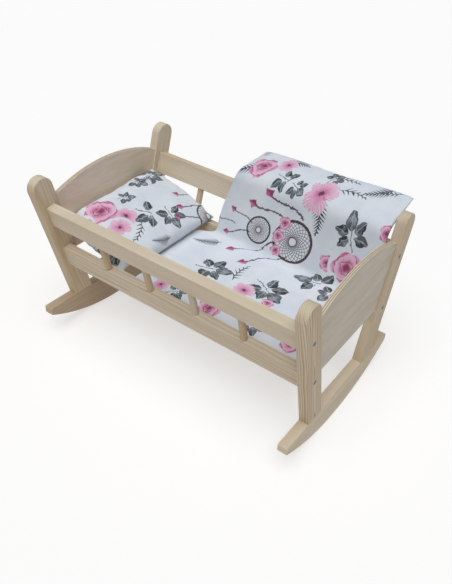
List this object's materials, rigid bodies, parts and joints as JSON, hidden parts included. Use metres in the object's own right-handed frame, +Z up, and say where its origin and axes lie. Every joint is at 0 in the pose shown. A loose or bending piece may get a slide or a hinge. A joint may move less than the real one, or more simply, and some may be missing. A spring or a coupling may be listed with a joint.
{
  "type": "doll rocking cradle",
  "caption": "Rocking cradle for dolls with splayed lath ends on curved rockers, leaning spindle sides, slatted base, a pillow and a quilt thrown over one side.",
  "frame": {"origin": "on the floor, midway between the lowest points of the two rockers", "axes": "+X along the cradle from the head end, where the pillow lies, to the foot end; -Y is the open front side and +Y the side that the quilt hangs over; +Z up"},
  "size_m": [0.54, 0.383, 0.322],
  "materials": {
    "pine_lath": "raw planed pine, satin, with fine growth-ring lines",
    "plywood": "raw thin plywood with a smooth face and layered edge",
    "dowel_beech": "raw turned hardwood dowel, satin",
    "screw_steel": "zinc plated, dull",
    "pillow_cotton": "printed plain-weave cotton, matt",
    "quilt_cotton": "printed plain-weave cotton, matt"
  },
  "bodies": {
    "frame": {"bottom_rail_back": "pine_lath", "bottom_rail_front": "pine_lath", "foot_dowels_back": "dowel_beech", "foot_dowels_front": "dowel_beech", "foot_panel": "plywood", "foot_post_back": "pine_lath", "foot_post_front": "pine_lath", "foot_rocker": "pine_lath", "head_dowels_back": "dowel_beech", "head_dowels_front": "dowel_beech", "head_panel": "plywood", "head_post_back": "pine_lath", "head_post_front": "pine_lath", "head_rocker": "pine_lath", "screw_bottom_foot_back": "screw_steel", "screw_bottom_foot_front": "screw_steel", "screw_bottom_head_back": "screw_steel", "screw_bottom_head_front": "screw_steel", "screw_top_foot_back": "screw_steel", "screw_top_foot_front": "screw_steel", "screw_top_head_back": "screw_steel", "screw_top_head_front": "screw_steel", "slat_1": "pine_lath", "slat_2": "pine_lath", "slat_3": "pine_lath", "slat_4": "pine_lath", "slat_5": "pine_lath", "slat_cleat_back": "pine_lath", "slat_cleat_front": "pine_lath", "slat_nails": "screw_steel", "spindle_back_1": "dowel_beech", "spindle_back_2": "dowel_beech", "spindle_back_3": "dowel_beech", "spindle_back_4": "dowel_beech", "spindle_front_1": "dowel_beech", "spindle_front_2": "dowel_beech", "spindle_front_3": "dowel_beech", "spindle_front_4": "dowel_beech", "top_rail_back": "pine_lath", "top_rail_front": "pine_lath"},
    "pillow": {"pillow": "pillow_cotton"},
    "quilt": {"quilt": "quilt_cotton"}
  },
  "joints": [
    {"name": "pillow_lift", "type": "slide", "parent": "frame", "child": "pillow", "axis": [0, 0, 1], "range_m": [0, 0.25]},
    {"name": "quilt_lift", "type": "slide", "parent": "frame", "child": "quilt", "axis": [0, 0, 1], "range_m": [0, 0.25]}
  ]
}
